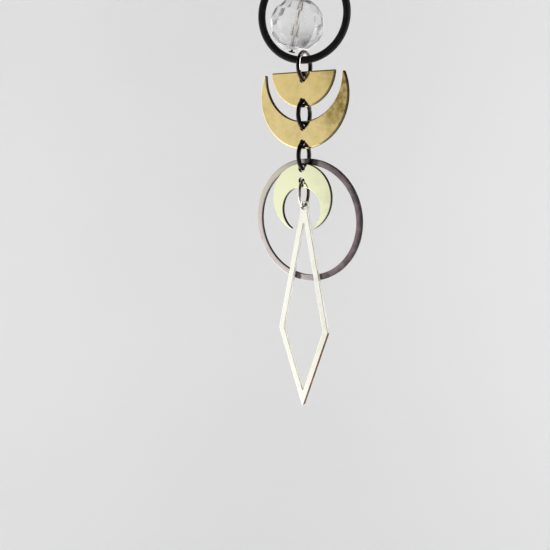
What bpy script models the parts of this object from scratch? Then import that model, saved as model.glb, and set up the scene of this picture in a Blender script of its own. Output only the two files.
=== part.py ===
"""Hanging charm for a car's rear-view mirror: a glass bead in a black ring, then brass moons and a long kite.

Metres, +Z up. The charm hangs from the inside of its top jump ring, which is the origin.
The flat plates face -Y, and every piece hangs below the one that carries it.
"""

import math

import bmesh
import bpy
from mathutils import Matrix, Vector
from mathutils.geometry import tessellate_polygon

MM = 0.001

# Gap kept between two pieces that rest on each other
CLEARANCE = 0.3 * MM

# Stamped brass plates
PLATE_THICKNESS = 0.9 * MM
PLATE_EDGE = 0.08 * MM
HOLE_STEPS = 16
SMALL_HOLE_SLACK = 0.1 * MM

# Jump rings, bent from round wire
JUMP_OUTER = 7.5 * MM
JUMP_WIRE = 1.1 * MM
JUMP_GAP = 0.1 * MM
BOTTOM_JUMP_OUTER = 7.2 * MM
BOTTOM_JUMP_WIRE = 0.8 * MM
TOP_JUMP_SEAM = math.radians(10)
UPPER_JUMP_SEAM = math.radians(-25)
MIDDLE_JUMP_SEAM = math.radians(20)
LOWER_JUMP_SEAM = math.radians(-15)
BOTTOM_JUMP_SEAM = math.radians(15)
TOP_JUMP_TURN = math.radians(5)
UPPER_JUMP_TURN = math.radians(5)
MIDDLE_JUMP_TURN = math.radians(6)
LOWER_JUMP_TURN = math.radians(8)
BOTTOM_JUMP_TURN = math.radians(12)
JUMP_BACK = 0.4 * MM
BOTTOM_JUMP_BACK = 0.9 * MM

# Black ring, of round section
BLACK_OUTER = 22.9 * MM
BLACK_SECTION = 1.8 * MM
BLACK_TURN = math.radians(16)

# Glass bead and its head pin
BEAD_DIAMETER = 12.6 * MM
BEAD_HEIGHT = 12.0 * MM
BEAD_FACETS = 12
PIN_WIRE = 0.6 * MM
PIN_NECK = 3.1 * MM
EYE_SLACK = 0.1 * MM
PIN_HEAD = 1.7 * MM
PIN_HEAD_HEIGHT = 0.4 * MM
PIN_LEAN = math.radians(14)
PIN_SWAY = -0.35 * MM

# Half moon
HALF_MOON_RADIUS = 9.0 * MM
HALF_MOON_CUT = 0.45 * MM
HALF_MOON_CORNER = 0.25 * MM
HALF_MOON_TOP_EDGE = 1.9 * MM
HALF_MOON_LOW_EDGE = 1.6 * MM
HALF_MOON_TURN = math.radians(0)

# Large crescent, horns up
LARGE_RADIUS = 12.7 * MM
LARGE_INNER_RADIUS = 10.95 * MM
LARGE_BAND = 6.7 * MM
LARGE_TOP_EDGE = 1.55 * MM
LARGE_LOW_EDGE = 1.55 * MM
LARGE_TIP = 0.35 * MM
LARGE_TURN = math.radians(-2)
LARGE_SWAY = 0.15 * MM

# Gunmetal ring
GUNMETAL_OUTER = 30.3 * MM
GUNMETAL_WIDTH = 1.55 * MM
GUNMETAL_THICKNESS = 0.8 * MM
GUNMETAL_EDGE = 0.08 * MM
GUNMETAL_LEAN = math.radians(1.3)
GUNMETAL_SWAY = 0.95 * MM

# Small crescent, horns down
SMALL_RADIUS = 8.35 * MM
SMALL_INNER_RADIUS = 5.5 * MM
SMALL_BAND = 5.76 * MM
SMALL_TOP_EDGE = 1.25 * MM
SMALL_LOW_EDGE = 1.56 * MM
SMALL_TIP = 0.12 * MM
SMALL_SWAY = 0.15 * MM
SMALL_SHARE = 0.8 * MM

# Kite frame
KITE_HALF_WIDTH = 7.25 * MM
KITE_SHOULDER = 31.15 * MM
KITE_LENGTH = 51.4 * MM
KITE_APEX = 3.5 * MM
KITE_BAR = 1.45 * MM
KITE_HEAD_WALL = 0.4 * MM
KITE_NECK_FILLET = 2.0 * MM
KITE_CORNER = 0.3 * MM
KITE_SWAY = 0.25 * MM


# Where each piece hangs from the one above it

JUMP_LINE = (JUMP_OUTER - JUMP_WIRE) / 2
JUMP_BORE = JUMP_OUTER / 2 - JUMP_WIRE
BOTTOM_JUMP_LINE = (BOTTOM_JUMP_OUTER - BOTTOM_JUMP_WIRE) / 2
HOLE_RADIUS = JUMP_WIRE / 2 + CLEARANCE
SMALL_HOLE_RADIUS = BOTTOM_JUMP_WIRE / 2 + CLEARANCE + SMALL_HOLE_SLACK
BLACK_BORE = BLACK_OUTER / 2 - BLACK_SECTION
GUNMETAL_BORE = GUNMETAL_OUTER / 2 - GUNMETAL_WIDTH
EYE_BORE = JUMP_WIRE / 2 + CLEARANCE + EYE_SLACK
EYE_LINE = EYE_BORE + PIN_WIRE / 2
EYE_OUTER = EYE_BORE + PIN_WIRE


def lower_wire(line, offset=0.0):
    """Height of a jump ring's lower wire below its centre, at a distance along it."""
    return math.sqrt(line**2 - offset**2)


def seat(offset, thickness):
    """Height from a jump ring's centre to a flat band that rests on its wire beside the middle."""
    return math.sqrt((JUMP_BORE - CLEARANCE) ** 2 - (abs(offset) + thickness / 2) ** 2)


def round_seat(offset, section):
    """The same for a round band, to the point of it that is farthest from the centre."""
    return math.sqrt((JUMP_BORE - CLEARANCE - section / 2) ** 2 - offset**2) + section / 2


# The black ring and the eye of the pin share the top jump ring, one before the other
EYE_SIDE = EYE_OUTER * math.sin(abs(BLACK_TURN)) / 2
SHARED = (BLACK_SECTION + PIN_WIRE) / 2 + CLEARANCE + EYE_SIDE
CHAIN_Y = -SHARED / 2
BEAD_Y = SHARED / 2
JUMP_Y = CHAIN_Y + JUMP_BACK

# The small crescent and the gunmetal ring share the lower jump ring
GUNMETAL_SHARE = (PLATE_THICKNESS + GUNMETAL_THICKNESS) / 2 + CLEARANCE - SMALL_SHARE
SMALL_Y = JUMP_Y - SMALL_SHARE
GUNMETAL_Y = JUMP_Y + GUNMETAL_SHARE
BOTTOM_JUMP_Y = SMALL_Y + BOTTOM_JUMP_BACK
KITE_Y = BOTTOM_JUMP_Y

TOP_Z = -JUMP_BORE
BLACK_Z = TOP_Z - round_seat(CHAIN_Y, BLACK_SECTION) - BLACK_BORE
EYE_Z = TOP_Z - lower_wire(JUMP_LINE, BEAD_Y)
UPPER_Z = BLACK_Z - BLACK_BORE - round_seat(JUMP_BACK, BLACK_SECTION)
HALF_MOON_Z = UPPER_Z - lower_wire(JUMP_LINE, JUMP_BACK)
HALF_MOON_HEIGHT = HALF_MOON_RADIUS - HALF_MOON_CUT
HALF_MOON_PITCH = HALF_MOON_HEIGHT - HALF_MOON_TOP_EDGE - HALF_MOON_LOW_EDGE
MIDDLE_Z = HALF_MOON_Z - HALF_MOON_PITCH - lower_wire(JUMP_LINE, JUMP_BACK)
LARGE_Z = MIDDLE_Z - lower_wire(JUMP_LINE, JUMP_BACK)
LARGE_PITCH = LARGE_BAND - LARGE_TOP_EDGE - LARGE_LOW_EDGE
LOWER_Z = LARGE_Z - LARGE_PITCH - lower_wire(JUMP_LINE, JUMP_BACK)
GUNMETAL_TOP_Z = LOWER_Z - seat(GUNMETAL_SHARE, GUNMETAL_THICKNESS)
SMALL_Z = LOWER_Z - lower_wire(JUMP_LINE, SMALL_SHARE)
SMALL_PITCH = SMALL_BAND - SMALL_TOP_EDGE - SMALL_LOW_EDGE
BOTTOM_Z = SMALL_Z - SMALL_PITCH - lower_wire(BOTTOM_JUMP_LINE, BOTTOM_JUMP_BACK)
KITE_Z = BOTTOM_Z - BOTTOM_JUMP_LINE


def material(name, colour, roughness, metallic, transmission=0.0):
    made = bpy.data.materials.new(name)
    made.use_nodes = True
    shader = made.node_tree.nodes["Principled BSDF"]
    shader.inputs["Base Color"].default_value = (*colour, 1)
    shader.inputs["Roughness"].default_value = roughness
    shader.inputs["Metallic"].default_value = metallic
    shader.inputs["Transmission Weight"].default_value = transmission
    made.diffuse_color = (*colour, 1)
    return made


def finish(name, bm, made, sharp=30):
    """Turns the mesh into an object, with smooth round sides and sharp edges."""
    bmesh.ops.recalc_face_normals(bm, faces=bm.faces)
    mesh = bpy.data.meshes.new(name)
    bm.to_mesh(mesh)
    bm.free()
    mesh.shade_smooth()
    mesh.set_sharp_from_angle(angle=math.radians(sharp))
    mesh.materials.append(made)
    obj = bpy.data.objects.new(name, mesh)
    bpy.context.collection.objects.link(obj)
    return obj


def arc(centre, radius, start, end, steps):
    """Points of an arc in the XZ plane, both ends included. Angles run from +X towards +Z."""
    points = []
    for step in range(steps + 1):
        angle = start + (end - start) * step / steps
        points.append(Vector((centre[0] + radius * math.cos(angle), centre[1] + radius * math.sin(angle))))
    return points


def circle(centre, radius, steps):
    return arc(centre, radius, 0, math.tau, steps)[:-1]


def rounded(corners, radii, steps):
    """A closed outline of straight sides whose corners are rounded. Corners run anticlockwise."""
    points = []
    for index, corner in enumerate(corners):
        before = (corners[index - 1] - corner).normalized()
        after = (corners[(index + 1) % len(corners)] - corner).normalized()
        half = before.angle(after) / 2
        radius = radii[index]
        centre = corner + (before + after).normalized() * (radius / math.sin(half))
        start = corner + before * (radius / math.tan(half)) - centre
        end = corner + after * (radius / math.tan(half)) - centre
        first = math.atan2(start.y, start.x)
        sweep = (math.atan2(end.y, end.x) - first + math.pi) % math.tau - math.pi
        points += arc(centre, radius, first, first + sweep, steps)
    return points


def inset(loop, distance):
    """The outline moved into the material, which lies to its left."""
    moved = []
    for index, point in enumerate(loop):
        before = (point - loop[index - 1]).normalized()
        after = (loop[(index + 1) % len(loop)] - point).normalized()
        normal = Vector((-before.y - after.y, before.x + after.x)).normalized()
        lean = max(normal.dot(Vector((-before.y, before.x))), 0.3)
        moved.append(point + normal * (distance / lean))
    return moved


def plate(name, outline, holes, thickness, edge, made):
    """A flat plate in the XZ plane with its edges broken all round."""
    loops = [outline] + [hole[::-1] for hole in holes]
    inner = [inset(loop, edge) for loop in loops]
    half = thickness / 2
    bm = bmesh.new()
    levels = []
    for y, shape in ((-half, inner), (edge - half, loops), (half - edge, loops), (half, inner)):
        levels.append([[bm.verts.new((p.x, y, p.y)) for p in loop] for loop in shape])
    for lower, upper in zip(levels[:-1], levels[1:]):
        for first, second in zip(lower, upper):
            for index in range(len(first)):
                after = (index + 1) % len(first)
                bm.faces.new((first[index], first[after], second[after], second[index]))
    for triangle in tessellate_polygon([[Vector((p.x, p.y, 0)) for p in loop] for loop in inner]):
        for level in (levels[0], levels[-1]):
            corners = [vert for loop in level for vert in loop]
            bm.faces.new([corners[index] for index in triangle])
    return finish(name, bm, made)


def block(outer, width, thickness, edge):
    """Section of a flat ring with broken edges, as radius and depth."""
    inner = outer - width
    half = thickness / 2
    return (
        (inner + edge, -half),
        (outer - edge, -half),
        (outer, edge - half),
        (outer, half - edge),
        (outer - edge, half),
        (inner + edge, half),
        (inner, half - edge),
        (inner, edge - half),
    )


def band(name, section, steps, made):
    """A ring in the XZ plane, turned about Y from its section."""
    bm = bmesh.new()
    rings = []
    for step in range(steps):
        angle = math.tau * step / steps
        rings.append([bm.verts.new((r * math.cos(angle), y, r * math.sin(angle))) for r, y in section])
    for index, first in enumerate(rings):
        second = rings[(index + 1) % steps]
        for side in range(len(section)):
            after = (side + 1) % len(section)
            bm.faces.new((first[side], first[after], second[after], second[side]))
    return finish(name, bm, made, 50)


def tube(name, path, radii, sides, made):
    """A round bar along a path in the XZ plane, closed at both ends."""
    bm = bmesh.new()
    rings = []
    for index, point in enumerate(path):
        along = (path[min(index + 1, len(path) - 1)] - path[max(index - 1, 0)]).normalized()
        across = Vector((-along.y, along.x))
        ring = []
        for side in range(sides):
            angle = math.tau * (side + 0.5) / sides
            spot = point + across * (radii[index] * math.cos(angle))
            ring.append(bm.verts.new((spot.x, radii[index] * math.sin(angle), spot.y)))
        rings.append(ring)
    for first, second in zip(rings[:-1], rings[1:]):
        for side in range(sides):
            after = (side + 1) % sides
            bm.faces.new((first[side], first[after], second[after], second[side]))
    bm.faces.new(rings[0])
    bm.faces.new(rings[-1])
    return finish(name, bm, made, 50)


def jump_ring(name, outer, wire, seam, turn, place, made):
    """A wire ring square to the plates, with its two ends meeting at the seam on its back."""
    line = (outer - wire) / 2
    half_gap = JUMP_GAP / 2 / line
    path = arc((0, 0), line, seam + half_gap, seam + math.tau - half_gap, 36)
    obj = tube(name, path, [wire / 2] * len(path), 8, made)
    obj.rotation_euler = (0, 0, math.radians(90) + turn)
    obj.location = place
    return obj


def crescent(radius, inner_radius, band_height, top_hole, tip, steps, inner_steps, horns):
    """Outline of a crescent whose upper hole is at (0, 0). Horns is 1 for up and -1 for down."""
    middle = top_hole - band_height + radius if horns > 0 else top_hole - radius
    inner_middle = top_hole + inner_radius if horns > 0 else top_hole - band_height - inner_radius
    apart = abs(inner_middle - middle)
    # The round tip touches the outer arc from inside and the inner arc from outside
    to_outer = radius - tip
    to_inner = inner_radius + tip
    rise = (to_outer**2 - to_inner**2 + apart**2) / (2 * apart)
    side = math.sqrt(to_outer**2 - rise**2)
    outer_angle = math.atan2(rise, side)
    inner_angle = math.atan2(rise - apart, side)
    points = arc((0, 0), radius, math.pi - outer_angle, math.tau + outer_angle, steps)
    right_tip = arc((side, rise), tip, outer_angle, inner_angle + math.pi, 4)
    left_tip = arc((-side, rise), tip, -inner_angle, math.pi - outer_angle, 4)
    points += right_tip[1:]
    points += arc((0, apart), inner_radius, inner_angle, -math.pi - inner_angle, inner_steps)[1:]
    points += left_tip[1:-1]
    turned = [Vector((p.x * horns, p.y * horns + middle)) for p in points]
    return turned


def half_moon():
    """Outline of the half moon whose upper hole is at (0, 0)."""
    flat = HALF_MOON_TOP_EDGE
    middle = flat + HALF_MOON_CUT
    corner = HALF_MOON_CORNER
    drop = HALF_MOON_CUT + corner
    side = math.sqrt((HALF_MOON_RADIUS - corner) ** 2 - drop**2)
    fall = math.atan2(drop, side)
    points = arc((0, middle), HALF_MOON_RADIUS, math.pi + fall, math.tau - fall, 40)
    points += arc((side, middle - drop), corner, -fall, math.pi / 2, 3)[1:]
    points += arc((-side, middle - drop), corner, math.pi / 2, math.pi + fall, 3)[:-1]
    return points


def kite():
    """Outer outline of the kite frame, with its eyelet round (0, 0), and the window inside it."""
    head = SMALL_HOLE_RADIUS + KITE_HEAD_WALL
    slope = math.atan2(KITE_HALF_WIDTH, KITE_SHOULDER + KITE_APEX)
    reach = KITE_APEX * math.sin(slope)
    fillet = KITE_NECK_FILLET
    # In the frame of the right-hand bar: away from it, then down along it
    away = Vector((math.cos(slope), math.sin(slope)))
    along = Vector((math.sin(slope), -math.cos(slope)))
    down = math.sqrt((head + fillet) ** 2 - (reach + fillet) ** 2)
    middle = away * (reach + fillet) + along * down
    touch = math.atan2(middle.y, middle.x)
    start = math.atan2(-away.y, -away.x)
    neck = arc(middle, fillet, start + math.tau, touch + math.pi, 5)
    right = neck + arc((0, 0), head, touch, math.pi / 2, 8)[1:]
    left = [Vector((-p.x, p.y)) for p in reversed(right[:-1])]
    corners = (
        Vector((0, -KITE_LENGTH)),
        Vector((KITE_HALF_WIDTH, -KITE_SHOULDER)),
        Vector((0, KITE_APEX)),
        Vector((-KITE_HALF_WIDTH, -KITE_SHOULDER)),
    )
    sides = rounded(corners, [KITE_CORNER] * 4, 4)
    outline = sides[5:10] + right + left + sides[15:20] + sides[0:5]
    lower = math.atan2(KITE_HALF_WIDTH, KITE_LENGTH - KITE_SHOULDER)
    top = KITE_APEX - KITE_BAR / math.sin(slope)
    bottom = -KITE_LENGTH + KITE_BAR / math.sin(lower)
    # Where the inner sides of two bars meet beside the shoulder
    level = (top * math.tan(slope) + bottom * math.tan(lower)) / (math.tan(slope) + math.tan(lower))
    width = (top - level) * math.tan(slope)
    window = rounded(
        (Vector((0, bottom)), Vector((width, level)), Vector((0, top)), Vector((-width, level))),
        [KITE_CORNER / 2] * 4,
        4,
    )
    return outline, window


def cut_bead(name, made):
    """A round bead cut in rows of flat facets, with a flat table at each end of its axis."""
    radius = BEAD_DIAMETER / 2
    bm = bmesh.new()
    bmesh.ops.create_cube(bm, size=BEAD_DIAMETER * 1.4)
    planes = [(Vector((0, 0, 1)), BEAD_HEIGHT / 2), (Vector((0, 0, -1)), BEAD_HEIGHT / 2)]
    for row, latitude in enumerate((14.5, 41, 64)):
        for side in (1, -1):
            for index in range(BEAD_FACETS):
                turn = math.tau * (index + (row + (side < 0)) / 2) / BEAD_FACETS
                rise = math.radians(latitude) * side
                flat = math.cos(rise)
                planes.append((Vector((flat * math.cos(turn), flat * math.sin(turn), math.sin(rise))), radius))
    for normal, distance in planes:
        everything = bm.verts[:] + bm.edges[:] + bm.faces[:]
        cut = bmesh.ops.bisect_plane(
            bm, geom=everything, dist=1e-8, plane_co=normal * distance, plane_no=normal, clear_outer=True
        )
        rim = [item for item in cut["geom_cut"] if isinstance(item, bmesh.types.BMEdge)]
        bmesh.ops.edgeloop_fill(bm, edges=rim)
    obj = finish(name, bm, made, 1)
    bore = PIN_WIRE / 2 + CLEARANCE
    drill = bmesh.new()
    bmesh.ops.create_cone(
        drill, cap_ends=True, segments=16, radius1=bore, radius2=bore, depth=BEAD_HEIGHT * 1.5
    )
    cutter = finish("bead_drill", drill, made)
    cutter.hide_render = True
    cutter.display_type = "WIRE"
    cutter.parent = obj
    hole = obj.modifiers.new("drilled hole", "BOOLEAN")
    hole.object = cutter
    hole.operation = "DIFFERENCE"
    hole.solver = "EXACT"
    return obj


def head_pin(name, made):
    """The pin from its flat head, through the bead, up to its eye, which is centred on (0, 0)."""
    bend = PIN_WIRE * 0.85
    turn = math.acos(bend / (bend + EYE_LINE))
    base = -(bend + EYE_LINE) * math.sin(turn)
    head = base - PIN_NECK - BEAD_HEIGHT - CLEARANCE - PIN_HEAD_HEIGHT
    wire = PIN_WIRE / 2
    path = [Vector((0, head)), Vector((0, head + PIN_HEAD_HEIGHT * 0.75)), Vector((0, head + PIN_HEAD_HEIGHT))]
    radii = [PIN_HEAD / 2, PIN_HEAD / 2, wire]
    path += arc((bend, base), bend, math.pi, math.pi - turn, 4)
    path += arc((0, 0), EYE_LINE, -turn, math.radians(232), 22)[1:]
    radii += [wire] * (len(path) - len(radii))
    return tube(name, path, radii, 8, made), base - PIN_NECK - BEAD_HEIGHT / 2


def build():
    for obj in list(bpy.data.objects):
        bpy.data.objects.remove(obj, do_unlink=True)

    brass = material("brass", (0.75, 0.58, 0.30), 0.18, 1.0)
    pale_brass = material("pale_brass", (0.86, 0.80, 0.55), 0.15, 1.0)
    pin_brass = material("pin_brass", (0.72, 0.52, 0.26), 0.25, 1.0)
    black_nickel = material("black_nickel", (0.045, 0.045, 0.05), 0.3, 0.9)
    gunmetal = material("gunmetal", (0.30, 0.26, 0.27), 0.25, 1.0)
    black_coat = material("black_coat", (0.012, 0.012, 0.013), 0.5, 0.0)
    glass = material("clear_glass", (0.96, 0.97, 0.97), 0.02, 0.0, 1.0)

    jump_ring(
        "hanging_jump_ring",
        JUMP_OUTER,
        JUMP_WIRE,
        TOP_JUMP_SEAM,
        TOP_JUMP_TURN,
        (0, 0, TOP_Z),
        black_nickel,
    )

    section = circle(((BLACK_OUTER - BLACK_SECTION) / 2, 0), BLACK_SECTION / 2, 10)
    black = band("black_ring", section, 72, black_coat)
    black.location = (0, CHAIN_Y, BLACK_Z)
    black.rotation_euler = (0, 0, BLACK_TURN)

    drop = bpy.data.objects.new("bead_drop", None)
    bpy.context.collection.objects.link(drop)
    drop.location = (PIN_SWAY, BEAD_Y, EYE_Z)
    drop.rotation_euler = (0, PIN_LEAN, 0)
    pin, bead_height = head_pin("bead_head_pin", pin_brass)
    pin.parent = drop
    bead = cut_bead("crystal_bead", glass)
    bead.parent = drop
    bead.location = (0, 0, bead_height)

    jump_ring(
        "upper_jump_ring",
        JUMP_OUTER,
        JUMP_WIRE,
        UPPER_JUMP_SEAM,
        UPPER_JUMP_TURN,
        (0, JUMP_Y, UPPER_Z),
        black_nickel,
    )

    holes = (
        circle((0, 0), HOLE_RADIUS, HOLE_STEPS),
        circle((0, -HALF_MOON_PITCH), HOLE_RADIUS, HOLE_STEPS),
    )
    half = plate("half_moon_plate", half_moon(), holes, PLATE_THICKNESS, PLATE_EDGE, brass)
    half.location = (0, CHAIN_Y, HALF_MOON_Z)
    half.rotation_euler = (0, 0, HALF_MOON_TURN)

    jump_ring(
        "middle_jump_ring",
        JUMP_OUTER,
        JUMP_WIRE,
        MIDDLE_JUMP_SEAM,
        MIDDLE_JUMP_TURN,
        (0, JUMP_Y, MIDDLE_Z),
        black_nickel,
    )

    outline = crescent(LARGE_RADIUS, LARGE_INNER_RADIUS, LARGE_BAND, LARGE_TOP_EDGE, LARGE_TIP, 56, 46, 1)
    holes = (
        circle((0, 0), HOLE_RADIUS, HOLE_STEPS),
        circle((0, -LARGE_PITCH), HOLE_RADIUS, HOLE_STEPS),
    )
    large = plate("large_crescent_plate", outline, holes, PLATE_THICKNESS, PLATE_EDGE, brass)
    large.location = (LARGE_SWAY, CHAIN_Y, LARGE_Z)
    large.rotation_euler = (0, 0, LARGE_TURN)

    jump_ring(
        "lower_jump_ring",
        JUMP_OUTER,
        JUMP_WIRE,
        LOWER_JUMP_SEAM,
        LOWER_JUMP_TURN,
        (0, JUMP_Y, LOWER_Z),
        black_nickel,
    )

    hook = bpy.data.objects.new("gunmetal_ring_hook", None)
    bpy.context.collection.objects.link(hook)
    hook.location = (0, GUNMETAL_Y, GUNMETAL_TOP_Z)
    hook.rotation_euler = (GUNMETAL_LEAN, 0, 0)
    section = block(GUNMETAL_OUTER / 2, GUNMETAL_WIDTH, GUNMETAL_THICKNESS, GUNMETAL_EDGE)
    ring = band("gunmetal_ring", section, 72, gunmetal)
    ring.parent = hook
    ring.location = (GUNMETAL_SWAY, 0, -GUNMETAL_BORE)

    outline = crescent(SMALL_RADIUS, SMALL_INNER_RADIUS, SMALL_BAND, SMALL_TOP_EDGE, SMALL_TIP, 48, 36, -1)
    holes = (
        circle((0, 0), HOLE_RADIUS, HOLE_STEPS),
        circle((0, -SMALL_PITCH), SMALL_HOLE_RADIUS, HOLE_STEPS),
    )
    small = plate("small_crescent_plate", outline, holes, PLATE_THICKNESS, PLATE_EDGE, pale_brass)
    small.location = (SMALL_SWAY, SMALL_Y, SMALL_Z)

    jump_ring(
        "bottom_jump_ring",
        BOTTOM_JUMP_OUTER,
        BOTTOM_JUMP_WIRE,
        BOTTOM_JUMP_SEAM,
        BOTTOM_JUMP_TURN,
        (0, BOTTOM_JUMP_Y, BOTTOM_Z),
        black_nickel,
    )

    outline, window = kite()
    holes = (circle((0, 0), SMALL_HOLE_RADIUS, HOLE_STEPS), window)
    frame = plate("kite_frame", outline, holes, PLATE_THICKNESS, PLATE_EDGE, pale_brass)
    frame.location = (KITE_SWAY, KITE_Y, KITE_Z)


build()
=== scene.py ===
"""Looks of the hanging charm: brass, black nickel, gunmetal and cut glass, in a pale studio."""

import math

import bmesh
import bpy
from mathutils import Matrix, Vector
from mathutils.geometry import tessellate_polygon


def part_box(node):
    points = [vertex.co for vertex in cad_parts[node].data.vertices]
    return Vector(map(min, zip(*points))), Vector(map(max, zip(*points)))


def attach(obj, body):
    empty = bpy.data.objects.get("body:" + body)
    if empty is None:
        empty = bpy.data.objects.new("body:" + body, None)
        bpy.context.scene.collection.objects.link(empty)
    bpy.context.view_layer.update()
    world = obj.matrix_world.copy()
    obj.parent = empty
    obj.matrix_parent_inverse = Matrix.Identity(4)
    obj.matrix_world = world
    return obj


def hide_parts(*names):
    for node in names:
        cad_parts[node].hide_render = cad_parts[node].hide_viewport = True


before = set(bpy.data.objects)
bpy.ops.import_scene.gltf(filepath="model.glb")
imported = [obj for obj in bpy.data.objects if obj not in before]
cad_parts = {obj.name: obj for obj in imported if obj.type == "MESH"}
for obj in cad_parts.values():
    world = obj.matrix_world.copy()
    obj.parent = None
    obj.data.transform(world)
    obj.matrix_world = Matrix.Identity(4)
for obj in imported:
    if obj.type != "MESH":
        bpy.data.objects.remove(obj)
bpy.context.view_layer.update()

MM = 0.001

# Sizes of the solids, which the finer pieces here keep to
PLATE_THICKNESS = 0.9 * MM
HOLE_RADIUS = 0.85 * MM
SMALL_HOLE_RADIUS = 0.8 * MM
JUMP_OUTER = 7.5 * MM
JUMP_WIRE = 1.1 * MM
JUMP_GAP = 0.1 * MM
BOTTOM_JUMP_OUTER = 7.2 * MM
BOTTOM_JUMP_WIRE = 0.8 * MM
JUMP_LINE = (JUMP_OUTER - JUMP_WIRE) / 2
BLACK_OUTER = 22.9 * MM
BLACK_SECTION = 1.8 * MM
BLACK_TURN = math.radians(16)
HALF_MOON_RADIUS = 9.0 * MM
HALF_MOON_CUT = 0.45 * MM
HALF_MOON_CORNER = 0.25 * MM
HALF_MOON_HOLES = (1.9 * MM, 6.95 * MM)
HALF_MOON_TURN = math.radians(0)
LARGE_RADIUS = 12.7 * MM
LARGE_INNER_RADIUS = 10.95 * MM
LARGE_BAND = 6.7 * MM
LARGE_HOLES = (1.55 * MM, 5.15 * MM)
LARGE_TIP = 0.35 * MM
LARGE_TURN = math.radians(-2)
GUNMETAL_OUTER = 30.3 * MM
GUNMETAL_WIDTH = 1.55 * MM
GUNMETAL_THICKNESS = 0.8 * MM
GUNMETAL_LEAN = math.radians(1.3)
SMALL_RADIUS = 8.35 * MM
SMALL_INNER_RADIUS = 5.5 * MM
SMALL_BAND = 5.76 * MM
SMALL_HOLES = (1.25 * MM, 4.2 * MM)
SMALL_TIP = 0.12 * MM
KITE_HALF_WIDTH = 7.25 * MM
KITE_SHOULDER = 31.15 * MM
KITE_LENGTH = 51.4 * MM
KITE_APEX = 3.5 * MM
KITE_BAR = 1.45 * MM
KITE_HEAD_WALL = 0.4 * MM
KITE_NECK_FILLET = 2.0 * MM
KITE_CORNER = 0.3 * MM

# Link holes of the two large brass plates, closer round the wire than in the solids
SNUG_HOLE_RADIUS = 0.74 * MM

# Rounding of the edges, finer than the solids' broken edges
PLATE_ROUND = 0.34 * MM
FINE_ROUND = 0.14 * MM
KITE_ROUND = 0.13 * MM
HOLE_ROUND = 0.11 * MM
GUNMETAL_ROUND = 0.14 * MM
ROUND_STEPS = 6
FACE_STEPS = 4

# How finely the round shapes are divided
HOLE_STEPS = 40
HOOP_STEPS = 192
BLACK_SIDES = 32
LINK_STEPS = 120
LINK_SIDES = 24
CORNER_STEPS = 8
HALF_MOON_STEPS = 96
LARGE_STEPS = 144
LARGE_INNER_STEPS = 112
SMALL_STEPS = 128
SMALL_INNER_STEPS = 96
KITE_NECK_STEPS = 10
KITE_HEAD_STEPS = 16

# How far the links' cut ends are rounded, as a share of their wire
LINK_SOFTNESS = 0.12

# Camera, as the photograph was taken
VIEW_AZIMUTH = math.radians(34)
VIEW_PITCH = math.radians(8.39)
VIEW_DISTANCE = 0.19786
VIEW_SIDE = 0.00685
VIEW_HEIGHT = -0.04799
CHAIN_Y = -0.00086
LENS = 52.36
SENSOR = 36.0

# The studio's floor, which bends up into the wall
FLOOR_Z = -0.32
WALL_AWAY = 0.6
WALL_BEND = 0.4
WALL_TOP = 3.0
FLOOR_NEAR = -3.0
SWEEP_HALF = 3.0
BEND_STEPS = 24

# Light that the metals and the glass see at each height, as degrees above the horizon and level
AIR_LEVEL = 1.0
METAL_LEVELS = (
    (-90, 0.9),
    (90, 0.04),
    (-30, 0.9),
    (-15, 0.54),
    (-2, 0.54),
    (0.5, 0.455),
    (16, 0.45),
    (24, 0.06),
)
GLASS_LEVELS = ((-90, 0.9), (90, 0.25), (-10, 0.95), (18, 0.95), (40, 0.35))

# The same round about: the azimuth, the angles off it where the light starts and is full, and both levels
METAL_SIDES = (107.5, 85.5, 77, 0.2, 1.0)
METAL_GLOW = (120, 62, 45, 1.0, 1.7)
METAL_SLIT = (-118, 10, 7, 0.0, 7.0)
GLASS_SIDES = (150, 100, 60, 0.85, 1.0)
METAL_STRENGTH = 2.0
GLASS_STRENGTH = 1.15

# Which way the plates' painted shading runs, and the spots of painted shade round their link holes
LINK_SHADE_COLOUR = (0.012, 0.009, 0.006)
RIGHT = (0.9, 0, 0.43)
HALF_LINK_SHADES = (((0, -0.75 * MM), 1.0 * MM), ((0, -8.3 * MM), 0.9 * MM))
LARGE_LINK_SHADES = (((0, -0.45 * MM), 0.9 * MM), ((0, -6.5 * MM), 0.9 * MM))
SMALL_LINK_SHADES = (((0, -0.2 * MM), 0.7 * MM), ((0, -5.4 * MM), 0.7 * MM))

# Dark patches of painted shade on the gunmetal: centre, radius and strength
GUNMETAL_SHADE_PATCHES = (
    ((1.2 * MM, 14.5 * MM), 2.2 * MM, 0.85),
    ((-3.1 * MM, -14.2 * MM), 1.3 * MM, 0.85),
    ((5.0 * MM, -13.8 * MM), 1.6 * MM, 0.6),
)

# Painted highlights on the links' near sides, as the highlighted wire material takes them
NEAR_SIDE = (0.002, 0.0)
NEAREST_SIDE = (-0.0008, -0.0018)
INNER_HIGHLIGHT = (0.75, 0.65, 0.00014, 0.00022)
ALL_HIGHLIGHT = (0.0, 1.0, -0.002, -0.0015)


def middle_of(node):
    low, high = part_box(node)
    return (low + high) / 2


# Materials


def material(name):
    """A new node material, its node tree and its Principled shader."""
    made = bpy.data.materials.new(name)
    made.use_nodes = True
    tree = made.node_tree
    return made, tree, tree.nodes["Principled BSDF"]


def add(tree, kind, values=None, **settings):
    node = tree.nodes.new(kind)
    for name, value in settings.items():
        setattr(node, name, value)
    for socket, value in (values or {}).items():
        node.inputs[socket].default_value = value
    return node


def noise(tree, scale, detail=3.0, rough=0.55, stretch=(1, 1, 1)):
    """Noise in the piece's own coordinates, in metres, stretched by smaller numbers."""
    place = add(tree, "ShaderNodeTexCoord")
    fit = add(tree, "ShaderNodeMapping", {"Scale": stretch})
    grain = add(tree, "ShaderNodeTexNoise", {"Scale": scale, "Detail": detail, "Roughness": rough})
    tree.links.new(place.outputs["Object"], fit.inputs["Vector"])
    tree.links.new(fit.outputs["Vector"], grain.inputs["Vector"])
    return grain.outputs["Fac"]


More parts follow.
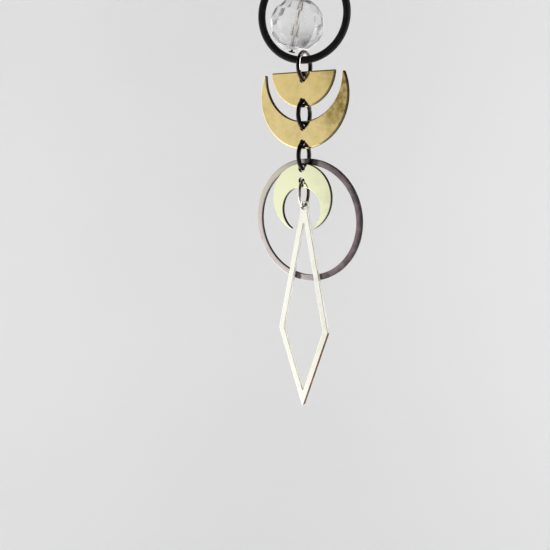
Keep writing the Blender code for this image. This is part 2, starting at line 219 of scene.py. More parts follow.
def across(tree, direction, start, end):
    """From 0 to 1 along a direction in the piece's own coordinates, between two distances."""
    place = add(tree, "ShaderNodeTexCoord")
    along = add(tree, "ShaderNodeVectorMath", {1: direction}, operation="DOT_PRODUCT")
    values = {"From Min": start, "From Max": end}
    fit = add(tree, "ShaderNodeMapRange", values, interpolation_type="SMOOTHSTEP")
    tree.links.new(place.outputs["Object"], along.inputs[0])
    tree.links.new(along.outputs["Value"], fit.inputs["Value"])
    return fit.outputs["Result"]


def spread(tree, source, low, high, start=0.35, end=0.65):
    values = {"From Min": start, "From Max": end, "To Min": low, "To Max": high}
    node = add(tree, "ShaderNodeMapRange", values)
    tree.links.new(source, node.inputs["Value"])
    return node.outputs["Result"]


def sums(tree, operation, first, second):
    node = add(tree, "ShaderNodeMath", operation=operation, use_clamp=True)
    for socket, source in zip(node.inputs, (first, second)):
        if isinstance(source, float):
            socket.default_value = source
        else:
            tree.links.new(source, socket)
    return node.outputs["Value"]


def blend(tree, share, first, second):
    """Mixes two colours, each one a plain colour or a socket, by a share from 0 to 1."""
    node = add(tree, "ShaderNodeMix", data_type="RGBA")
    tree.links.new(share, node.inputs["Factor"])
    for socket, source in ((node.inputs[6], first), (node.inputs[7], second)):
        if isinstance(source, tuple):
            socket.default_value = (*source, 1)
        else:
            tree.links.new(source, socket)
    return node.outputs[2]


def relief(tree, shader, layers):
    """Bumps on a surface: each layer is noise and its height in metres."""
    normal = None
    for source, height in layers:
        bump = add(tree, "ShaderNodeBump", {"Strength": 1.0, "Distance": height})
        tree.links.new(source, bump.inputs["Height"])
        if normal:
            tree.links.new(normal, bump.inputs["Normal"])
        normal = bump.outputs["Normal"]
    tree.links.new(normal, shader.inputs["Normal"])


def spot(tree, centre, radius):
    """A soft round spot on a plate, 1 inside it and 0 outside, in the plate's own coordinates."""
    place = add(tree, "ShaderNodeTexCoord")
    level = add(tree, "ShaderNodeVectorMath", {1: (1, 0, 1)}, operation="MULTIPLY")
    away = add(tree, "ShaderNodeVectorMath", {1: (centre[0], 0, centre[1])}, operation="DISTANCE")
    values = {"From Min": radius * 0.75, "From Max": radius * 1.1, "To Min": 1.0, "To Max": 0.0}
    fade = add(tree, "ShaderNodeMapRange", values)
    tree.links.new(place.outputs["Object"], level.inputs[0])
    tree.links.new(level.outputs["Vector"], away.inputs[0])
    tree.links.new(away.outputs["Value"], fade.inputs["Value"])
    return fade.outputs["Result"]


def brass_sheet(name, clean, tarnish_and_shading, way, reach, link_shades=(), polish=0.10, uneven=0.000012):
    """Polished sheet brass, tarnished in clouds, with painted shading towards one side and painted shade
    round the link holes.
    """
    made, tree, shader = material(name)
    shader.inputs["Metallic"].default_value = 1.0
    clouds = spread(tree, noise(tree, 210, 5, 0.6), 0.0, 1.0, 0.42, 0.72)
    specks = spread(tree, noise(tree, 1100, 4, 0.65), 0.0, 1.0, 0.50, 0.70)
    # Painted shading: the second colour is also laid on more towards one side, as painted shade on the half
    # moon and large crescent and as painted light on the small crescent and kite.
    side = across(tree, way, *reach)
    patchy = sums(tree, "MULTIPLY", side, spread(tree, noise(tree, 420, 4, 0.6), 0.55, 1.0, 0.40, 0.60))
    mask = sums(tree, "ADD", sums(tree, "MULTIPLY", clouds, 0.28), sums(tree, "MULTIPLY", patchy, 0.85))
    mask = sums(tree, "ADD", mask, sums(tree, "MULTIPLY", specks, 0.16))
    colour = blend(tree, mask, clean, tarnish_and_shading)
    # Painted shade: a dark spot round each link hole, where the links darken the plate.
    for centre, radius in link_shades:
        colour = blend(tree, spot(tree, centre, radius), colour, LINK_SHADE_COLOUR)
    tree.links.new(colour, shader.inputs["Base Color"])
    tree.links.new(spread(tree, mask, polish, polish + 0.16, 0.0, 1.0), shader.inputs["Roughness"])
    lines = noise(tree, 2600, 2, 0.5, (1, 1, 0.06))
    relief(tree, shader, ((noise(tree, 130, 1), uneven), (lines, 0.0000004)))
    return made


def plated(name, light, dark, rough, scale=500, uneven=0.000002):
    """Plated metal with a slightly cloudy finish."""
    made, tree, shader = material(name)
    shader.inputs["Metallic"].default_value = 1.0
    clouds = spread(tree, noise(tree, scale, 4, 0.6), 0.0, 1.0)
    tree.links.new(blend(tree, clouds, dark, light), shader.inputs["Base Color"])
    tree.links.new(spread(tree, clouds, rough, rough * 1.6, 0.0, 1.0), shader.inputs["Roughness"])
    relief(tree, shader, ((noise(tree, 1800, 3), uneven),))
    return made


def gunmetal_face():
    """Gunmetal whose tone runs from pale pink grey on the left to dark mauve on the right as painted shade,
    taupe towards its top, with dark patches of painted shade.
    """
    made, tree, shader = material("gunmetal_face")
    shader.inputs["Metallic"].default_value = 1.0
    # Painted shade: lighter on the left and darker on the right.
    side = across(tree, (1, 0, 0.12), -0.009, 0.009)
    clouds = spread(tree, noise(tree, 420, 5, 0.7), 0.0, 1.0)
    upper = across(tree, (-0.3, 0, 1), 0.002, 0.013)
    pale = blend(tree, clouds, (0.54, 0.49, 0.475), (0.74, 0.66, 0.64))
    pale = blend(tree, sums(tree, "MULTIPLY", upper, 0.7), pale, (0.56, 0.53, 0.41))
    shaded_tone = blend(tree, clouds, (0.12, 0.092, 0.10), (0.28, 0.215, 0.225))
    tone = blend(tree, side, pale, shaded_tone)
    # Painted shade: dark patches laid over the tone.
    for centre, radius, strength in GUNMETAL_SHADE_PATCHES:
        shade_patch = sums(tree, "MULTIPLY", spot(tree, centre, radius), strength)
        tone = blend(tree, shade_patch, tone, (0.022, 0.018, 0.018))
    tree.links.new(tone, shader.inputs["Base Color"])
    tree.links.new(spread(tree, clouds, 0.12, 0.26, 0.0, 1.0), shader.inputs["Roughness"])
    relief(tree, shader, ((noise(tree, 1500, 4), 0.0000015), (noise(tree, 170, 1), 0.00001)))
    return made


def highlit_wire(name, plating, highlight_colour, keep, highlight_reach, rough):
    """Plated wire with a painted highlight, a pale colour laid on the near side of the ring.

    keep is where the near side starts and ends. The fourth argument gives how much the ring's axis and its
    inside count, and the distances between which the painted highlight sets in.
    """
    made, tree, shader = material(name)
    shader.inputs["Metallic"].default_value = 1.0
    axis_share, inner_share, start, end = highlight_reach
    place = add(tree, "ShaderNodeTexCoord")
    level = add(tree, "ShaderNodeVectorMath", {1: (1, 0, 1)}, operation="MULTIPLY")
    reach = add(tree, "ShaderNodeVectorMath", operation="LENGTH")
    split = add(tree, "ShaderNodeSeparateXYZ")
    tree.links.new(place.outputs["Object"], level.inputs[0])
    tree.links.new(level.outputs["Vector"], reach.inputs[0])
    tree.links.new(place.outputs["Object"], split.inputs["Vector"])
    towards_middle = {1: -inner_share, 2: inner_share * JUMP_LINE}
    inner = add(tree, "ShaderNodeMath", towards_middle, operation="MULTIPLY_ADD")
    tree.links.new(reach.outputs["Value"], inner.inputs[0])
    sideways = add(tree, "ShaderNodeMath", {1: -axis_share}, operation="MULTIPLY_ADD")
    tree.links.new(split.outputs["Y"], sideways.inputs[0])
    tree.links.new(inner.outputs["Value"], sideways.inputs[2])
    # Painted highlight: the mask that lays the pale colour on the wire.
    highlight_mask = spread(tree, sideways.outputs["Value"], 0.0, 1.0, start, end)
    grain = noise(tree, 900, 3)
    highlight_mask = sums(tree, "MULTIPLY", highlight_mask, across(tree, (1, 0, 0), *keep))
    highlight_mask = sums(tree, "MULTIPLY", highlight_mask, spread(tree, grain, 0.75, 1.0, 0.35, 0.5))
    tree.links.new(blend(tree, highlight_mask, plating, highlight_colour), shader.inputs["Base Color"])
    tree.links.new(spread(tree, grain, rough, rough * 1.5), shader.inputs["Roughness"])
    relief(tree, shader, ((noise(tree, 1800, 3), 0.000002),))
    return made


def black_coat():
    """Satin black lacquer over wire: a dull sheen and fine orange peel."""
    made, tree, shader = material("black_coat")
    shader.inputs["Specular IOR Level"].default_value = 0.15
    clouds = spread(tree, noise(tree, 700, 4), 0.0, 1.0)
    lacquer = blend(tree, clouds, (0.005, 0.005, 0.005), (0.009, 0.0085, 0.008))
    tree.links.new(lacquer, shader.inputs["Base Color"])
    tree.links.new(spread(tree, clouds, 0.42, 0.58, 0.0, 1.0), shader.inputs["Roughness"])
    relief(tree, shader, ((noise(tree, 2500, 3), 0.000003),))
    return made


def cut_glass():
    """Clear glass with faint flow lines inside its polish, painted grey in streaks towards its low side as
    painted shade.
    """
    made, tree, shader = material("cut_glass")
    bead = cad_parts["crystal_bead"]
    to_local = bead.matrix_world.inverted()
    down = (to_local.to_3x3() @ Vector((0.15, 0.1, -1))).normalized()
    middle = down.dot(to_local @ middle_of("crystal_bead"))
    # Painted shade: the glass is painted grey in streaks towards its low side.
    low = across(tree, down, middle + 0.8 * MM, middle + 5.8 * MM)
    streaks = spread(tree, noise(tree, 260, 3, 0.6), 0.45, 1.0)
    grey = blend(tree, sums(tree, "MULTIPLY", low, streaks), (1.0, 1.0, 1.0), (0.13, 0.13, 0.135))
    tree.links.new(grey, shader.inputs["Base Color"])
    shader.inputs["IOR"].default_value = 1.52
    shader.inputs["Transmission Weight"].default_value = 1.0
    tree.links.new(spread(tree, noise(tree, 300, 3), 0.13, 0.18), shader.inputs["Roughness"])
    soft = add(tree, "ShaderNodeBevel", {"Radius": 0.5 * MM}, samples=4)
    bump = add(tree, "ShaderNodeBump", {"Strength": 1.0, "Distance": 0.00001})
    tree.links.new(noise(tree, 220, 1), bump.inputs["Height"])
    tree.links.new(soft.outputs["Normal"], bump.inputs["Normal"])
    tree.links.new(bump.outputs["Normal"], shader.inputs["Normal"])
    return made


# Painted shade: the half moon and large crescent darken towards their right.
half_brass = brass_sheet(
    "half_moon_brass", (0.78, 0.61, 0.265), (0.44, 0.33, 0.105), RIGHT, (-0.001, 0.0125), HALF_LINK_SHADES
)
large_brass = brass_sheet(
    "large_crescent_brass", (0.80, 0.64, 0.29), (0.27, 0.195, 0.05), RIGHT, (0.002, 0.0118), LARGE_LINK_SHADES
)
# Painted light: the small crescent and the kite are lit copies of the brass, painted pale near white and
# lighter towards their right.
small_brass_painted_light = brass_sheet(
    "small_crescent_brass_painted_light", (0.82, 0.84, 0.56), (0.88, 0.90, 0.585), RIGHT, (-0.004, 0.006), SMALL_LINK_SHADES
)
kite_brass_painted_light = brass_sheet(
    "kite_brass_painted_light", (0.90, 0.90, 0.82), (0.95, 0.92, 0.80), (1, 0, 0), (-0.01, 0.01), (), 0.10, 0.000004
)
# Painted shade: the walls of the brass plates are painted near black.
brass_shaded_edge = plated("brass_edge_painted_shade", (0.045, 0.025, 0.015), (0.012, 0.007, 0.005), 0.35)
# Painted shade: the kite's walls facing right and down on its lower right bar are painted dark copper.
copper_edge_painted_shade = plated("copper_edge_painted_shade", (0.34, 0.12, 0.014), (0.012, 0.005, 0.002), 0.3, 1300)
# Painted light: the kite's walls are painted pale near white.
kite_lit_edge = plated("kite_edge_painted_light", (0.93, 0.92, 0.86), (0.90, 0.87, 0.74), 0.3)
kite_lit_edge.node_tree.nodes["Principled BSDF"].inputs["Metallic"].default_value = 0.35
gun_face = gunmetal_face()
# Painted shade: the gunmetal's walls are painted near black.
gun_shaded_edge = plated("gunmetal_edge_painted_shade", (0.075, 0.06, 0.065), (0.035, 0.03, 0.033), 0.3)
nickel = plated("black_nickel", (0.045, 0.04, 0.042), (0.02, 0.018, 0.02), 0.16)
# Painted highlight: the upper link and the bottom link are painted pale on their near sides.
upper_nickel = highlit_wire(
    "black_nickel_painted_highlight", (0.035, 0.03, 0.032), (0.86, 0.72, 0.68), NEAR_SIDE, INNER_HIGHLIGHT, 0.2
)
thin_nickel = highlit_wire(
    "thin_black_nickel_painted_highlight", (0.05, 0.035, 0.025), (0.75, 0.70, 0.58), NEAREST_SIDE, ALL_HIGHLIGHT, 0.12
)
pin_brass = plated("pin_brass", (0.70, 0.60, 0.46), (0.12, 0.08, 0.06), 0.18, 700)
black = black_coat()
glass = cut_glass()


# Shapes


def arc(centre, radius, start, end, steps):
    """Points of an arc in the XZ plane, both ends included. Angles run from +X towards +Z."""
    points = []
    for step in range(steps + 1):
        angle = start + (end - start) * step / steps
        points.append(Vector((centre[0] + radius * math.cos(angle), centre[1] + radius * math.sin(angle))))
    return points


def circle(centre, radius, steps):
    return arc(centre, radius, 0, math.tau, steps)[:-1]


def rounded(corners, radii, steps):
    """A closed outline of straight sides whose corners are rounded. Corners run anticlockwise."""
    points = []
    for index, corner in enumerate(corners):
        before = (corners[index - 1] - corner).normalized()
        after = (corners[(index + 1) % len(corners)] - corner).normalized()
        half = before.angle(after) / 2
        radius = radii[index]
        centre = corner + (before + after).normalized() * (radius / math.sin(half))
        start = corner + before * (radius / math.tan(half)) - centre
        end = corner + after * (radius / math.tan(half)) - centre
        first = math.atan2(start.y, start.x)
        sweep = (math.atan2(end.y, end.x) - first + math.pi) % math.tau - math.pi
        points += arc(centre, radius, first, first + sweep, steps)
    return points


def inset(loop, distance):
    """The outline moved into the material, which lies to its left."""
    moved = []
    for index, point in enumerate(loop):
        before = (point - loop[index - 1]).normalized()
        after = (loop[(index + 1) % len(loop)] - point).normalized()
        normal = Vector((-before.y - after.y, before.x + after.x)).normalized()
        lean = max(normal.dot(Vector((-before.y, before.x))), 0.3)
        moved.append(point + normal * (distance / lean))
    return moved


def crescent_outline(radius, inner_radius, band_height, tip, steps, horns):
    """Outline of a crescent, horns up (1) or down (-1). The top of its band is at height 0 in the middle."""
    middle = radius - band_height if horns > 0 else -radius
    inner_middle = inner_radius if horns > 0 else -band_height - inner_radius
    apart = abs(inner_middle - middle)
    to_outer = radius - tip
    to_inner = inner_radius + tip
    rise = (to_outer**2 - to_inner**2 + apart**2) / (2 * apart)
    side = math.sqrt(to_outer**2 - rise**2)
    outer_angle = math.atan2(rise, side)
    inner_angle = math.atan2(rise - apart, side)
    points = arc((0, 0), radius, math.pi - outer_angle, math.tau + outer_angle, steps[0])
    points += arc((side, rise), tip, outer_angle, inner_angle + math.pi, CORNER_STEPS)[1:]
    points += arc((0, apart), inner_radius, inner_angle, -math.pi - inner_angle, steps[1])[1:]
    points += arc((-side, rise), tip, -inner_angle, math.pi - outer_angle, CORNER_STEPS)[1:-1]
    return [Vector((p.x * horns, p.y * horns + middle)) for p in points]


def half_moon_outline():
    """Outline of the half moon, whose flat side is at height 0."""
    corner = HALF_MOON_CORNER
    drop = HALF_MOON_CUT + corner
    side = math.sqrt((HALF_MOON_RADIUS - corner) ** 2 - drop**2)
    fall = math.atan2(drop, side)
    points = arc((0, HALF_MOON_CUT), HALF_MOON_RADIUS, math.pi + fall, math.tau - fall, HALF_MOON_STEPS)
    points += arc((side, -corner), corner, -fall, math.pi / 2, CORNER_STEPS)[1:]
    points += arc((-side, -corner), corner, math.pi / 2, math.pi + fall, CORNER_STEPS)[:-1]
    return points


def kite_outlines():
    """Outer outline of the kite frame, with its eyelet round (0, 0), and the window inside it."""
    head = SMALL_HOLE_RADIUS + KITE_HEAD_WALL
    slope = math.atan2(KITE_HALF_WIDTH, KITE_SHOULDER + KITE_APEX)
    reach = KITE_APEX * math.sin(slope)
    fillet = KITE_NECK_FILLET
    # In the frame of the right-hand bar: away from it, then down along it
    away = Vector((math.cos(slope), math.sin(slope)))
    along = Vector((math.sin(slope), -math.cos(slope)))
    down = math.sqrt((head + fillet) ** 2 - (reach + fillet) ** 2)
    middle = away * (reach + fillet) + along * down
    touch = math.atan2(middle.y, middle.x)
    start = math.atan2(-away.y, -away.x)
    neck = arc(middle, fillet, start + math.tau, touch + math.pi, KITE_NECK_STEPS)
    right_side = neck + arc((0, 0), head, touch, math.pi / 2, KITE_HEAD_STEPS)[1:]
    left_side = [Vector((-p.x, p.y)) for p in reversed(right_side[:-1])]
    corners = (
        Vector((0, -KITE_LENGTH)),
        Vector((KITE_HALF_WIDTH, -KITE_SHOULDER)),
        Vector((0, KITE_APEX)),
        Vector((-KITE_HALF_WIDTH, -KITE_SHOULDER)),
    )
    sides = rounded(corners, [KITE_CORNER] * 4, CORNER_STEPS)
    count = CORNER_STEPS + 1
    outline = sides[count : 2 * count] + right_side + left_side + sides[3 * count :] + sides[:count]
    lower = math.atan2(KITE_HALF_WIDTH, KITE_LENGTH - KITE_SHOULDER)
    top = KITE_APEX - KITE_BAR / math.sin(slope)
    bottom = -KITE_LENGTH + KITE_BAR / math.sin(lower)
    # Where the inner sides of two bars meet beside the shoulder
    level = (top * math.tan(slope) + bottom * math.tan(lower)) / (math.tan(slope) + math.tan(lower))
    width = (top - level) * math.tan(slope)
    window = rounded(
        (Vector((0, bottom)), Vector((width, level)), Vector((0, top)), Vector((-width, level))),
        [KITE_CORNER / 2] * 4,
        CORNER_STEPS,
    )
    return outline, window


def piece(name, bm, node, materials, place, turn=(0, 0, 0)):
    """The mesh as a piece of the charm, in the place of its plainer solid."""
    bmesh.ops.recalc_face_normals(bm, faces=bm.faces)
    mesh = bpy.data.meshes.new(name)
    bm.to_mesh(mesh)
    bm.free()
    for made in materials:
        mesh.materials.append(made)
    obj = bpy.data.objects.new(name, mesh)
    bpy.context.collection.objects.link(obj)
    obj.location = place
    obj.rotation_euler = turn
    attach(obj, "root")
    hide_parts(node)
    return obj


def plate(bm, outline, holes, edge):
    """A flat plate in the XZ plane with rounded edges, material 0 on its faces and 1 on its walls."""
    loops = [outline] + [hole[::-1] for hole in holes]
    edges = [edge] + [min(edge, HOLE_ROUND)] * len(holes)
    half = PLATE_THICKNESS / 2
    levels = []
    for side in (-1, 1):
        steps = range(ROUND_STEPS + 1)
        for step in steps if side < 0 else reversed(steps):
            angle = math.pi / 2 * step / ROUND_STEPS
            level = []
            for loop, radius in zip(loops, edges):
                y = side * (half - radius * (1 - math.cos(angle)))
                shrunk = inset(loop, radius * (1 - math.sin(angle)))
                level.append([bm.verts.new((p.x, y, p.y)) for p in shrunk])
            levels.append(level)
    for rank, (lower, upper) in enumerate(zip(levels[:-1], levels[1:])):
        on_face = min(rank, len(levels) - 2 - rank) < FACE_STEPS
        for first, second in zip(lower, upper):
            for index in range(len(first)):
                after = (index + 1) % len(first)
                face = bm.faces.new((first[index], first[after], second[after], second[index]))
                face.smooth = True
                face.material_index = 0 if on_face else 1
    flat = [[Vector((p.x, p.y, 0)) for p in inset(loop, radius)] for loop, radius in zip(loops, edges)]
    for triangle in tessellate_polygon(flat):
        for level in (levels[0], levels[-1]):
            corners = [vert for loop in level for vert in loop]
            bm.faces.new([corners[index] for index in triangle])
    for level in (levels[0], levels[-1]):
        for loop in level:
            for index, vert in enumerate(loop):
                bm.edges.get((vert, loop[(index + 1) % len(loop)])).smooth = False
    return bm


def turned(section, steps, walls=()):
    """A ring in the XZ plane, turned about Y from its section. The sides in walls have material 1."""
    bm = bmesh.new()
    rings = []
    for step in range(steps):
        angle = math.tau * step / steps
        rings.append([bm.verts.new((r * math.cos(angle), y, r * math.sin(angle))) for r, y in section])
    for index, first in enumerate(rings):
        second = rings[(index + 1) % steps]
        for side in range(len(section)):
            after = (side + 1) % len(section)
            face = bm.faces.new((first[side], first[after], second[after], second[side]))
            face.smooth = True
            face.material_index = 1 if side in walls else 0
    return bm


def wire(path, radii, sides):
    """A round wire along a path in the XZ plane, closed at both ends."""
    bm = bmesh.new()
    rings = []
    for index, point in enumerate(path):
        along = (path[min(index + 1, len(path) - 1)] - path[max(index - 1, 0)]).normalized()
        across_wire = Vector((-along.y, along.x))
        ring = []
        for side in range(sides):
            angle = math.tau * side / sides
            rim = point + across_wire * (radii[index] * math.cos(angle))
            ring.append(bm.verts.new((rim.x, radii[index] * math.sin(angle), rim.y)))
        rings.append(ring)
    for first, second in zip(rings[:-1], rings[1:]):
        for side in range(sides):
            after = (side + 1) % sides
            bm.faces.new((first[side], first[after], second[after], second[side])).smooth = True
    bm.faces.new(rings[0])
    bm.faces.new(rings[-1])
    return bm


def jump_ring(node, outer, thickness, turn, seam, made):
    """A round wire ring whose two cut ends meet at the seam, their corners slightly rounded."""
    line = (outer - thickness) / 2
    half_gap = JUMP_GAP / 2 / line
    soft = thickness * LINK_SOFTNESS
    path = arc((0, 0), line, seam + half_gap, seam + math.tau - half_gap, LINK_STEPS)
    path.insert(1, arc((0, 0), line, seam + half_gap, seam + half_gap + soft / line, 1)[1])
    path.insert(-1, arc((0, 0), line, seam + math.tau - half_gap - soft / line, seam, 1)[0])
    radii = [thickness / 2] * len(path)
    radii[0] = radii[-1] = thickness / 2 - soft
    bm = wire(path, radii, LINK_SIDES)
    name = node.replace("_jump_ring", "_link")
    return piece(name, bm, node, [made], middle_of(node), (0, 0, math.radians(90) + turn))


def plate_piece(name, node, outline, holes, edge, materials, top, turn=0.0):
    """A plate whose height 0 is at a height in the frame, centred on its solid."""
    place = middle_of(node)
    place.z = top
    bm = plate(bmesh.new(), outline, holes, edge)
    return piece(name, bm, node, materials, place, (0, 0, turn))


# Node, outer size, wire, turn and seam in degrees, and material of each link
JUMP_RINGS = (
    ("hanging_jump_ring", JUMP_OUTER, JUMP_WIRE, 5, 10, nickel),
    ("upper_jump_ring", JUMP_OUTER, JUMP_WIRE, 5, -25, upper_nickel),
    ("middle_jump_ring", JUMP_OUTER, JUMP_WIRE, 6, 20, nickel),
    ("lower_jump_ring", JUMP_OUTER, JUMP_WIRE, 8, -15, nickel),
    ("bottom_jump_ring", BOTTOM_JUMP_OUTER, BOTTOM_JUMP_WIRE, 12, 15, thin_nickel),
)


def black_hoop():
    section = circle(((BLACK_OUTER - BLACK_SECTION) / 2, 0), BLACK_SECTION / 2, BLACK_SIDES)
    hoop = turned(section, HOOP_STEPS)
    piece("black_hoop", hoop, "black_ring", [black], middle_of("black_ring"), (0, 0, BLACK_TURN))


def gunmetal_hoop():
    """The flat ring, whose inner and outer walls are painted darker than its faces, as painted shade."""
    half = GUNMETAL_THICKNESS / 2
    outer = GUNMETAL_OUTER / 2
    inner = outer - GUNMETAL_WIDTH
    corners = (Vector((inner, -half)), Vector((outer, -half)), Vector((outer, half)), Vector((inner, half)))
    section = rounded(corners, [GUNMETAL_ROUND] * 4, ROUND_STEPS)
    walls = []
    for side in range(len(section)):
        along = section[(side + 1) % len(section)] - section[side]
        if abs(along.y) > abs(along.x):
            walls.append(side)
    hoop = turned(section, HOOP_STEPS, walls)
    place = middle_of("gunmetal_ring")
    piece("gunmetal_hoop", hoop, "gunmetal_ring", [gun_face, gun_shaded_edge], place, (GUNMETAL_LEAN, 0, 0))


def half_moon():
    outline = half_moon_outline()
    holes = [circle((0, -depth), SNUG_HOLE_RADIUS, HOLE_STEPS) for depth in HALF_MOON_HOLES]
    brasses = [half_brass, brass_shaded_edge]
    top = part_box("half_moon_plate")[1].z
    plate_piece("half_moon", "half_moon_plate", outline, holes, PLATE_ROUND, brasses, top, HALF_MOON_TURN)


def large_crescent():
    steps = (LARGE_STEPS, LARGE_INNER_STEPS)
    outline = crescent_outline(LARGE_RADIUS, LARGE_INNER_RADIUS, LARGE_BAND, LARGE_TIP, steps, 1)
    holes = [circle((0, -depth), SNUG_HOLE_RADIUS, HOLE_STEPS) for depth in LARGE_HOLES]
    brasses = [large_brass, brass_shaded_edge]
    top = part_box("large_crescent_plate")[0].z + LARGE_BAND
    node = "large_crescent_plate"
    plate_piece("large_crescent", node, outline, holes, PLATE_ROUND, brasses, top, LARGE_TURN)


def small_crescent():
    steps = (SMALL_STEPS, SMALL_INNER_STEPS)
    outline = crescent_outline(SMALL_RADIUS, SMALL_INNER_RADIUS, SMALL_BAND, SMALL_TIP, steps, -1)
    radii = (HOLE_RADIUS, SMALL_HOLE_RADIUS)
    holes = [circle((0, -depth), radius, HOLE_STEPS) for depth, radius in zip(SMALL_HOLES, radii)]
    brasses = [small_brass_painted_light, brass_shaded_edge]
    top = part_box("small_crescent_plate")[1].z
    plate_piece("small_crescent", "small_crescent_plate", outline, holes, FINE_ROUND, brasses, top)


def open_kite():
    """The kite frame, whose walls facing right and down on its lower right bar are painted dark copper, as
    painted shade.
    """
    outline, window = kite_outlines()
    holes = [circle((0, 0), SMALL_HOLE_RADIUS, HOLE_STEPS), window]
    brasses = [kite_brass_painted_light, kite_lit_edge, copper_edge_painted_shade]
    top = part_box("kite_frame")[1].z - SMALL_HOLE_RADIUS - KITE_HEAD_WALL
    kite = plate_piece("open_kite", "kite_frame", outline, holes, KITE_ROUND, brasses, top)
    # Painted shade: walls facing right and down below the shoulder get the dark copper edge.
    for face in kite.data.polygons:
        right_and_down = face.normal.x > 0.3 and face.normal.z < -0.1 and face.center.x > 0
        if right_and_down and face.center.z < -KITE_SHOULDER:
            face.material_index = 2


for link, link_outer, link_wire, turn, seam, made in JUMP_RINGS:
    jump_ring(link, link_outer, link_wire, math.radians(turn), math.radians(seam), made)
black_hoop()
gunmetal_hoop()
half_moon()
large_crescent()
small_crescent()
open_kite()

for node, made in (("crystal_bead", glass), ("bead_head_pin", pin_brass)):
    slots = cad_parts[node].data.materials
    slots.clear()
    slots.append(made)


# The studio


def sweep():
    """A pale floor that curves up into the wall behind, square to the photograph's view."""
    profile = [Vector((FLOOR_NEAR, FLOOR_Z))]
    profile += arc((WALL_AWAY - WALL_BEND, FLOOR_Z + WALL_BEND), WALL_BEND, -math.pi / 2, 0, BEND_STEPS)
    profile.append(Vector((WALL_AWAY, WALL_TOP)))
    bm = bmesh.new()
    rows = [[bm.verts.new((x, p.x, p.y)) for x in (-SWEEP_HALF, SWEEP_HALF)] for p in profile]
    for first, second in zip(rows[:-1], rows[1:]):
        bm.faces.new((first[0], first[1], second[1], second[0])).smooth = True
    mesh = bpy.data.meshes.new("studio_floor")
    bm.to_mesh(mesh)
    bm.free()
    obj = bpy.data.objects.new("studio_floor", mesh)
    bpy.context.collection.objects.link(obj)
    obj.rotation_euler = (0, 0, VIEW_AZIMUTH)
    obj.visible_glossy = False
    made, tree, shader = material("studio_paper")
    shader.inputs["Roughness"].default_value = 0.9
    shader.inputs["Specular IOR Level"].default_value = 0.0
    fibres = spread(tree, noise(tree, 8, 3), 0.0, 1.0)
    paper = blend(tree, fibres, (0.775, 0.775, 0.775), (0.79, 0.79, 0.787))
    # Painted light and shade: the paper is painted lighter towards its right and left and darker high up the
    # wall.
    right = sums(tree, "MULTIPLY", across(tree, (1, 0, 0), 0.0, 0.28), 0.85)
    left = sums(tree, "MULTIPLY", across(tree, (-1, 0, 0), 0.0, 0.28), 0.5)
    paper = blend(tree, sums(tree, "ADD", right, left), paper, (0.87, 0.87, 0.875))
    top = sums(tree, "MULTIPLY", across(tree, (0, 0, 1), 0.1, 0.28), 0.5)
    tree.links.new(blend(tree, top, paper, (0.66, 0.65, 0.64)), shader.inputs["Base Color"])
    mesh.materials.append(made)


def curve(tree, source, stops):
    """A level for each height above the horizon, given as pairs of degrees and level."""
    node = add(tree, "ShaderNodeValToRGB")
    elements = node.color_ramp.elements
    for index, (degrees, level) in enumerate(stops):
        position = (math.sin(math.radians(degrees)) + 1) / 2
        element = elements[index] if index < 2 else elements.new(position)
        element.position = position
        element.color = (level, level, level, 1)
    tree.links.new(source, node.inputs["Fac"])
    return node.outputs["Color"]


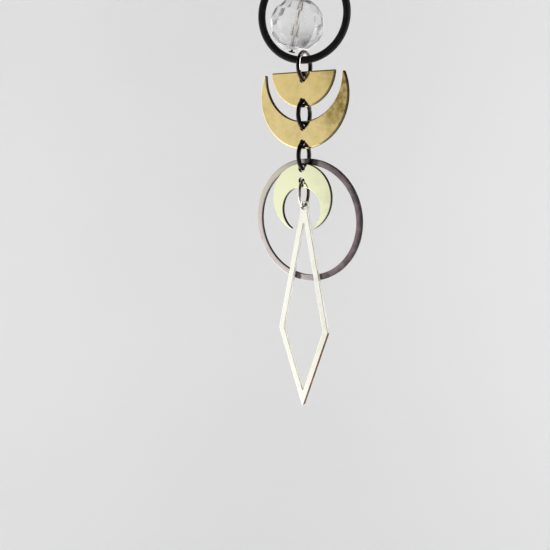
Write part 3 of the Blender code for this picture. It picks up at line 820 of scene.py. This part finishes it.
def air():
    """Even light for the paper. The metals see a bright table and left, and a dim right and ceiling."""
    world = bpy.data.worlds.new("studio_air")
    world.use_nodes = True
    tree = world.node_tree
    place = add(tree, "ShaderNodeTexCoord")
    way = place.outputs["Generated"]
    level_way = add(tree, "ShaderNodeVectorMath", {1: (1, 1, 0)}, operation="MULTIPLY")
    flat = add(tree, "ShaderNodeVectorMath", operation="NORMALIZE")
    tree.links.new(way, level_way.inputs[0])
    tree.links.new(level_way.outputs["Vector"], flat.inputs[0])

    def facing(azimuth, start, end, low, high):
        side = math.radians(azimuth)
        towards = {1: (-math.sin(side), -math.cos(side), 0)}
        node = add(tree, "ShaderNodeVectorMath", towards, operation="DOT_PRODUCT")
        values = {
            "From Min": math.cos(math.radians(start)),
            "From Max": math.cos(math.radians(end)),
            "To Min": low,
            "To Max": high,
        }
        fade = add(tree, "ShaderNodeMapRange", values, interpolation_type="SMOOTHSTEP")
        tree.links.new(flat.outputs["Vector"], node.inputs[0])
        tree.links.new(node.outputs["Value"], fade.inputs["Value"])
        return fade.outputs["Result"]

    split = add(tree, "ShaderNodeSeparateXYZ")
    tree.links.new(way, split.inputs["Vector"])
    rise = add(tree, "ShaderNodeMapRange", {"From Min": -1.0, "From Max": 1.0})
    tree.links.new(split.outputs["Z"], rise.inputs["Value"])
    height = rise.outputs["Result"]
    in_metal = curve(tree, height, METAL_LEVELS)
    in_glass = curve(tree, height, GLASS_LEVELS)

    def times(first, second, factor=1.0, operation="MULTIPLY"):
        node = add(tree, "ShaderNodeMath", operation=operation)
        tree.links.new(first, node.inputs[0])
        tree.links.new(second, node.inputs[1])
        if factor == 1.0:
            return node.outputs["Value"]
        scaled = add(tree, "ShaderNodeMath", {1: factor}, operation="MULTIPLY")
        tree.links.new(node.outputs["Value"], scaled.inputs[0])
        return scaled.outputs["Value"]

    sides = times(in_metal, facing(*METAL_SIDES), METAL_STRENGTH)
    sides = times(sides, facing(*METAL_GLOW))
    metal = times(sides, facing(*METAL_SLIT), operation="ADD")
    through = times(in_glass, facing(*GLASS_SIDES), GLASS_STRENGTH)
    path = add(tree, "ShaderNodeLightPath")
    passed_glass = add(tree, "ShaderNodeMath", {1: 0.5}, operation="GREATER_THAN")
    tree.links.new(path.outputs["Transmission Depth"], passed_glass.inputs[0])
    from_glass = add(tree, "ShaderNodeMath", operation="SUBTRACT", use_clamp=True)
    tree.links.new(passed_glass.outputs["Value"], from_glass.inputs[0])
    tree.links.new(path.outputs["Is Diffuse Ray"], from_glass.inputs[1])

    def choose(switch, first, second):
        node = add(tree, "ShaderNodeMix", data_type="FLOAT")
        tree.links.new(switch, node.inputs[0])
        if isinstance(first, float):
            node.inputs[2].default_value = first
        else:
            tree.links.new(first, node.inputs[2])
        tree.links.new(second, node.inputs[3])
        return node.outputs[0]

    level = choose(path.outputs["Is Glossy Ray"], AIR_LEVEL, metal)
    level = choose(from_glass.outputs["Value"], level, through)
    tree.nodes["Background"].inputs["Color"].default_value = (1, 1, 1, 1)
    tree.links.new(level, tree.nodes["Background"].inputs["Strength"])
    bpy.context.scene.world = world


sweep()
air()
bpy.context.scene.view_settings.view_transform = "Standard"


# The camera

pose = Matrix.Rotation(VIEW_AZIMUTH, 4, "Z") @ Matrix.Rotation(math.pi / 2 - VIEW_PITCH, 4, "X")
right = Vector((math.cos(VIEW_AZIMUTH), math.sin(VIEW_AZIMUTH), 0))
ahead = Vector((-math.sin(VIEW_AZIMUTH), math.cos(VIEW_AZIMUTH), 0))
camera_data = bpy.data.cameras.new("camera")
camera_data.lens = LENS
camera_data.sensor_width = SENSOR
camera_data.clip_start = 0.01
camera = bpy.data.objects.new("camera", camera_data)
chain = Vector((0, CHAIN_Y, VIEW_HEIGHT))
camera.matrix_world = Matrix.Translation(chain - right * VIEW_SIDE - ahead * VIEW_DISTANCE) @ pose
bpy.context.collection.objects.link(camera)
bpy.context.scene.camera = camera
